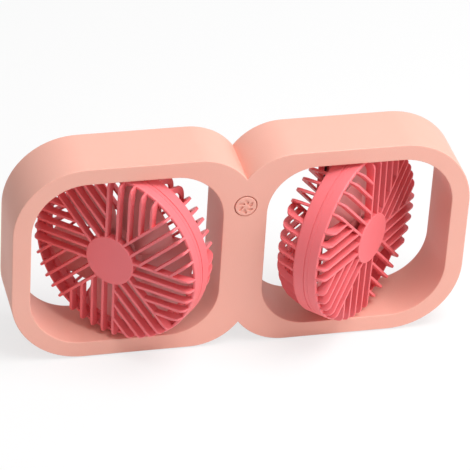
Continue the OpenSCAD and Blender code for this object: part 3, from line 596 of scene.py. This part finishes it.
# Front grilles
# Coral satin plastic in one moulding: a plain hub disc, eight sectors of five parallel ribs that
# bend over into the band, and the front half of the band with its snap lip.
coral = moulded_plastic("coral_plastic", (0.880, 0.185, 0.205), (0.850, 0.165, 0.185), 0.42, 0.0005, 0.14,
                        soft=0.12)
head_at = {side: Matrix.Translation((x, -0.002, 0.0628)) @ Matrix.Rotation(math.radians(yaw), 4, "Z")
           @ Matrix.Rotation(math.radians(90), 4, "X") @ Matrix.Scale(0.001, 4)
           for side, x, yaw in (("left", -0.066, -42), ("right", 0.066, 44))}
rib_pitch, rib_offset, rib_t = 6.85, 3.0, 1.4
hub_r = 15.0
band_r = 51.25
sector_count, ribs_per_sector = 8, 5


def rib_slab(bm, off, width, outer, inner, edge):
    """One upright slab along x at a distance off from the axis, bounded by an outer and an inner
    path of (radius, height), with its long edges rounded."""
    root = max(math.sqrt(max(0, (hub_r - 1) ** 2 - off * off)), off + rib_offset * math.sqrt(2))
    first = math.hypot(root, off)

    def along(path):
        kept = [(r, z) for r, z in path if r > first + 0.3]
        r0, z0 = [p for p in path if p[0] <= first + 0.3][-1]
        r1, z1 = kept[0]
        start = (root, z0 + (z1 - z0) * (first - r0) / (r1 - r0))
        return [start] + [(math.sqrt(max(0, r * r - off * off)), z) for r, z in kept]

    line = along(outer) + along(inner)[::-1]
    low = [bm.verts.new((x, -off - width / 2, z)) for x, z in line]
    high = [bm.verts.new((x, -off + width / 2, z)) for x, z in line]
    n = len(line)
    rims = []
    for row, turn in ((low, 1), (high, -1)):
        rims += list(bm.faces.new(row[::turn]).edges)
    for i in range(n):
        j = (i + 1) % n
        bm.faces.new((low[j], low[i], high[i], high[j]))
    bmesh.ops.bevel(bm, geom=rims, offset=edge, offset_type="OFFSET", segments=3, profile=0.5,
                    affect="EDGES", clamp_overlap=True)


def quarter(cx, cz, r, sign, n):
    """Quarter bend from the top round to the outside, as (radius, height)."""
    turns = [math.pi / 2 * i / n for i in range(n + 1)]
    return [(cx + r * math.sin(a), cz + sign * r * math.cos(a)) for a in turns]


def fill_line(path, step):
    """The path with points added so that none lie further apart than step."""
    out = [path[0]]
    for (r0, z0), (r1, z1) in zip(path, path[1:]):
        n = max(1, math.ceil(math.hypot(r1 - r0, z1 - z0) / step))
        out += [(r0 + (r1 - r0) * k / n, z0 + (z1 - z0) * k / n) for k in range(1, n + 1)]
    return out


front_outer = fill_line([(5, 13.7), (hub_r, 13.65)] + quarter(47.5, 10.0, 3.0, 1, 8)
                        + [(51.0, 7.8), (51.0, 5.2)], 6)
front_inner = fill_line([(5, 9.4), (hub_r, 9.4), (45.5, 8.5), (46.9, 7.0), (49.7, 5.2)], 6)


def pocket_block(bm, y, z0, z1):
    """Rounded block inside the band that clamps a pivot tube."""
    at = Matrix.Translation((0, y, (z0 + z1) / 2)) @ Matrix.Diagonal((12, 3.2, z1 - z0, 1))
    made = bmesh.ops.create_cube(bm, size=1, matrix=at)["verts"]
    rims = list({e for v in made for e in v.link_edges})
    bmesh.ops.bevel(bm, geom=rims, offset=0.35, segments=2, profile=0.5, affect="EDGES")


pivot_hole_r = 3.05


def flat_seats(piece):
    """Cuts the small flats above and below on which the friction washers lie."""
    bm = bmesh.new()
    for y in (52.4, -52.4):
        at = Matrix.Translation((0, y, 0)) @ Matrix.Rotation(math.radians(90), 4, "X")
        bmesh.ops.create_cone(bm, cap_ends=True, segments=48, radius1=6, radius2=6, depth=3, matrix=at)
        bmesh.ops.create_cone(bm, cap_ends=True, segments=32, radius1=pivot_hole_r, radius2=pivot_hole_r,
                              depth=9, matrix=at)
    cutter = make_object("flat_cutter", bm, coral)
    cut = piece.modifiers.new("flat_seats", "BOOLEAN")
    cut.object = cutter
    cut.operation = "DIFFERENCE"
    cut.solver = "EXACT"
    cut.use_self = True
    settle(piece)
    bpy.data.objects.remove(cutter)


band_front = [(50.85, 0), (50.85, 0.3), (51.17, 0.3), (band_r, 0.38)]
band_front += [(band_r, 2.3), (51.12, 2.38), (51.12, 2.54), (band_r, 2.62)]
band_front += [(band_r - g, 6.9 + f) for g, f in rounding(0.9, 6)]
band_front += [(49.75, 7.8), (49.54, 7.71), (49.45, 7.5)]
band_front += [(49.45, 1.5), (48.15, 1.5), (48.15, -3), (49.35, -3), (49.35, 0)]
for side in ("left", "right"):
    bm = bmesh.new()
    for j in range(ribs_per_sector):
        rib_slab(bm, rib_pitch * j - rib_offset, rib_t, front_outer, front_inner, 0.42)
    sector = make_object(f"{side}_front_rib_sector", bm, coral, Matrix.Identity(4))
    ribs = copies_round(f"{side}_front_ribs", sector, sector_count, coral)
    bm = bmesh.new()
    join_rows(bm, turned(bm, band_front, 144), closed=True)
    band = make_object(f"{side}_front_band", bm, coral, Matrix.Identity(4))
    flat_seats(band)
    bm = bmesh.new()
    bm.from_mesh(ribs.data)
    bm.from_mesh(band.data)
    disc = [(0, 13.9)] + [(hub_r - g, 13.4 + f) for g, f in reversed(rounding(0.5, 5))]
    disc += [(hub_r, 9.7), (hub_r - 0.3, 9.4), (13.7, 9.4), (13.4, 9.7), (13.4, 11.9), (0, 11.9)]
    join_rows(bm, turned(bm, disc, 96))
    for y in (48.2, -48.2):
        pocket_block(bm, y, 0.02, 5.5)
    grille = make_object(f"{side}_front_grille_moulding", bm, coral, head_at[side], 48)
    for used in (ribs, band):
        bpy.data.objects.remove(used)
    even_faces(grille)
    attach(grille, f"{side}_head")
    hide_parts(f"{side}_front_grille")

# Rear grilles
# The same coral plastic: a bowl of ribs round the motor's cup, the rear half of the band, and a
# closed trough between two upper ribs that covers the motor's leads.
rear_outer = fill_line([(5, -22.5), (hub_r, -22.5)] + quarter(39.8, -13.3, 9.2, -1, 10)
                       + [(51.0, -6.7), (51.0, -4)], 6)
rear_inner = fill_line([(5, -19.3), (hub_r, -19.3)] + quarter(39.8, -13.3, 6.0, -1, 8)
                       + [(47.8, -6.7), (47.8, -4)], 6)
trough_inner = fill_line([(5, -21.3), (hub_r, -21.3)] + quarter(39.8, -13.3, 8.0, -1, 8)
                         + [(49.8, -6.7), (49.8, -4)], 6)
band_rear = [(50.85, 0), (49.5, 0), (49.45, -0.05), (49.45, -6.9), (49.54, -7.11), (49.75, -7.2)]
band_rear += [(band_r - g, -6.3 - f) for g, f in reversed(rounding(0.9, 6))]
band_rear += [(band_r, -0.38), (51.17, -0.3), (50.85, -0.3)]
for side in ("left", "right"):
    bm = bmesh.new()
    for j in range(ribs_per_sector):
        rib_slab(bm, rib_pitch * j - rib_offset, rib_t, rear_outer, rear_inner, 0.42)
    sector = make_object(f"{side}_rear_rib_sector", bm, coral, Matrix.Identity(4))
    ribs = copies_round(f"{side}_rear_ribs", sector, sector_count, coral)
    bm = bmesh.new()
    join_rows(bm, turned(bm, band_rear, 144), closed=True)
    band = make_object(f"{side}_rear_band", bm, coral, Matrix.Identity(4))
    flat_seats(band)
    bm = bmesh.new()
    rib_slab(bm, rib_pitch / 2 - rib_offset, rib_pitch - 0.3, rear_outer, trough_inner, 0.1)
    bmesh.ops.rotate(bm, verts=bm.verts, cent=(0, 0, 0), matrix=Matrix.Rotation(math.radians(90), 3, "Z"))
    bm.from_mesh(ribs.data)
    bm.from_mesh(band.data)
    cup = [(0, -22.5)] + [(hub_r - g, -22.1 - f) for g, f in reversed(rounding(0.4, 4))]
    cup += [(hub_r, -9.35), (hub_r - 0.3, -9.05), (12.6, -9.05), (12.3, -9.35), (12.3, -20.5), (0, -20.5)]
    join_rows(bm, turned(bm, cup, 96))
    for y in (48.2, -48.2):
        pocket_block(bm, y, -5.5, -0.02)
    grille = make_object(f"{side}_rear_grille_moulding", bm, coral, head_at[side], 48)
    for used in (ribs, band):
        bpy.data.objects.remove(used)
    even_faces(grille)
    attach(grille, f"{side}_head")
    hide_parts(f"{side}_rear_grille")

# Impellers
# Dusty mauve satin plastic in one moulding: a cup over the motor's shaft with five swept blades,
# thick at the root and thin along their edges. The colour is the plastic's own dull mauve, painted
# lighter: painted light for the light that reaches the blades through the grille.
mauve = moulded_plastic("mauve_plastic_with_painted_light", (0.760, 0.330, 0.320), (0.710, 0.300, 0.290), 0.36, 0.0005, 0.1,
                        soft=0.08)
blade_count, blade_turn = 5, 44
# Each mark is the radius and how far the blade reaches behind and ahead of its middle line there.
blade_marks = [(11.8, -8, 8), (20, -12.9, 13.4), (28, -17.4, 18.4), (36, -19.8, 21.2)]
blade_marks += [(41, -20.3, 21.2), (44, -19.6, 19.2)]


def between(marks, r, k):
    """Value k of a table of marks at radius r."""
    for a, b in zip(marks, marks[1:]):
        if r <= b[0]:
            t = (r - a[0]) / (b[0] - a[0])
            return a[k] + (b[k] - a[k]) * t
    return marks[-1][k]


def blade(bm):
    """One blade along y: a cambered, twisted sheet that thins to its edges, closed all round."""
    spans, chords = 18, 16
    grid = {1: [], -1: []}
    for i in range(spans + 1):
        t = i / spans
        r = 11.8 + 32.15 * t
        trail, lead = between(blade_marks, r, 1), between(blade_marks, r, 2)
        tip = math.sqrt(max(0.0, 1 - max(0.0, (t - 0.86) / 0.14) ** 2.4 * 0.75))
        middle, half = (lead + trail) / 2, (lead - trail) / 2 * tip
        slope = math.tan(math.radians(24 - 6.5 * t))
        for face in (1, -1):
            row = []
            for k in range(chords + 1):
                c = -math.cos(math.pi * k / chords)
                x = middle + half * c
                thick = (0.95 - 0.35 * t) * math.sqrt(max(0.0, 1 - c ** 4)) + 0.02
                z = max(-6.9, min(6.2, 2.4 + x * slope - x * x / 125))
                y = math.sqrt(r * r - x * x)
                row.append((x - face * thick * 0.5 * math.sin(math.atan(slope)), y, z + face * thick * 0.5))
            grid[face].append(row)
    made = {face: [[bm.verts.new(p) for p in row] for row in rows] for face, rows in grid.items()}
    for face, rows in made.items():
        for low, high in zip(rows, rows[1:]):
            for k in range(chords):
                bm.faces.new((low[k], low[k + 1], high[k + 1], high[k]))
    front, back = made[1], made[-1]
    for k in range(chords):
        for i in (0, spans):
            bm.faces.new((front[i][k], front[i][k + 1], back[i][k + 1], back[i][k]))
    for i in range(spans):
        for k in (0, chords):
            bm.faces.new((front[i][k], front[i + 1][k], back[i + 1][k], back[i][k]))


for side in ("left", "right"):
    bm = bmesh.new()
    blade(bm)
    at_rest = Matrix.Rotation(math.radians(blade_turn), 3, "Z")
    bmesh.ops.rotate(bm, verts=bm.verts, cent=(0, 0, 0), matrix=at_rest)
    one_blade = make_object(f"{side}_blade", bm, mauve, Matrix.Identity(4))
    blades = copies_round(f"{side}_blades", one_blade, blade_count, mauve)
    bm = bmesh.new()
    bm.from_mesh(blades.data)
    cup = [(0, 6.4), (4, 6.4)] + [(13.6 - g, 4.6 + f) for g, f in reversed(rounding(1.8, 8))]
    cup += [(13.6, -4.1), (13.35, -4.35), (12.65, -4.35), (12.4, -4.1)]
    cup += [(12.4, 5.2), (1.1, 5.2), (1.1, 5.6), (0, 5.6)]
    join_rows(bm, turned(bm, cup, 96))
    impeller = make_object(f"{side}_impeller_moulding", bm, mauve, head_at[side], 60)
    bpy.data.objects.remove(blades)
    even_faces(impeller)
    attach(impeller, f"{side}_fan")
    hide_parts(f"{side}_impeller")

# Studio
# A plain white floor in a white surround, soft light from above and the right, and
# the camera where the photograph was taken from: above the fan, to its left, with a long lens.
floor_mesh = bpy.data.meshes.new("floor")
floor_mesh.from_pydata([(-4, -4, 0), (4, -4, 0), (4, 4, 0), (-4, 4, 0)], [], [(0, 1, 2, 3)])
floor = bpy.data.objects.new("floor", floor_mesh)
bpy.context.scene.collection.objects.link(floor)
paper = bpy.data.materials.new("white_paper")
paper.use_nodes = True
nodes, links = paper.node_tree.nodes, paper.node_tree.links
shader = nodes["Principled BSDF"]
shader.inputs["Base Color"].default_value = (0.86, 0.86, 0.86, 1)
shader.inputs["Roughness"].default_value = 0.9
shader.inputs["Specular IOR Level"].default_value = 0.1
glow = nodes.new("ShaderNodeEmission")
path = nodes.new("ShaderNodeLightPath")
seen = nodes.new("ShaderNodeMath")
seen.operation = "MAXIMUM"
veil = nodes.new("ShaderNodeMath")
veil.operation = "MULTIPLY"
veil.inputs[1].default_value = 0.72
mix = nodes.new("ShaderNodeMixShader")
links.new(path.outputs["Is Camera Ray"], seen.inputs[0])
links.new(path.outputs["Is Transmission Ray"], seen.inputs[1])
links.new(seen.outputs["Value"], veil.inputs[0])
links.new(veil.outputs["Value"], mix.inputs["Fac"])
links.new(shader.outputs["BSDF"], mix.inputs[1])
links.new(glow.outputs["Emission"], mix.inputs[2])
links.new(mix.outputs["Shader"], nodes["Material Output"].inputs["Surface"])
floor_mesh.materials.append(paper)

world = bpy.data.worlds.new("white_surround")
bpy.context.scene.world = world
world.use_nodes = True
nodes, links = world.node_tree.nodes, world.node_tree.links
fill = nodes["Background"]
fill.inputs["Color"].default_value = (1, 1, 1, 1)
fill.inputs["Strength"].default_value = 0.33
white = nodes.new("ShaderNodeBackground")
white.inputs["Color"].default_value = (1, 1, 1, 1)
path = nodes.new("ShaderNodeLightPath")
seen = nodes.new("ShaderNodeMath")
seen.operation = "MAXIMUM"
seen_too = nodes.new("ShaderNodeMath")
seen_too.operation = "MAXIMUM"
mix = nodes.new("ShaderNodeMixShader")
links.new(path.outputs["Is Camera Ray"], seen.inputs[0])
links.new(path.outputs["Is Transmission Ray"], seen.inputs[1])
links.new(seen.outputs["Value"], seen_too.inputs[0])
links.new(path.outputs["Is Glossy Ray"], seen_too.inputs[1])
links.new(seen_too.outputs["Value"], mix.inputs["Fac"])
links.new(fill.outputs["Background"], mix.inputs[1])
links.new(white.outputs["Background"], mix.inputs[2])
links.new(mix.outputs["Shader"], nodes["World Output"].inputs["Surface"])


def soft_box(name, at, towards, size, watts):
    """A rectangular area light at one place, turned towards another."""
    lamp = bpy.data.lights.new(name, "AREA")
    lamp.shape = "RECTANGLE"
    lamp.size, lamp.size_y = size
    lamp.energy = watts
    box = bpy.data.objects.new(name, lamp)
    bpy.context.scene.collection.objects.link(box)
    box.location = at
    box.rotation_euler = (Vector(towards) - Vector(at)).to_track_quat("-Z", "Y").to_euler()


soft_box("top_light", (0.35, -0.25, 1.25), (0, 0, 0.06), (0.9, 0.7), 16.5)
soft_box("right_light", (1.15, -0.85, 0.55), (0, 0, 0.06), (0.7, 0.7), 7.0)

right_way = Vector((0.97206, -0.22813, 0.05525))
up_way = Vector((0.08141, 0.54845, 0.83221))
back_way = -Vector((0.22015, 0.80446, -0.55170))
lens = bpy.data.cameras.new("camera")
lens.sensor_width = 36
lens.sensor_fit = "HORIZONTAL"
lens.lens = 235.4
camera = bpy.data.objects.new("camera", lens)
bpy.context.scene.collection.objects.link(camera)
turned_to = Matrix((right_way, up_way, back_way)).transposed().to_4x4()
camera.matrix_world = Matrix.Translation((-0.3800, -1.3842, 1.0140)) @ turned_to
bpy.context.scene.camera = camera
bpy.context.scene.view_settings.view_transform = "Standard"
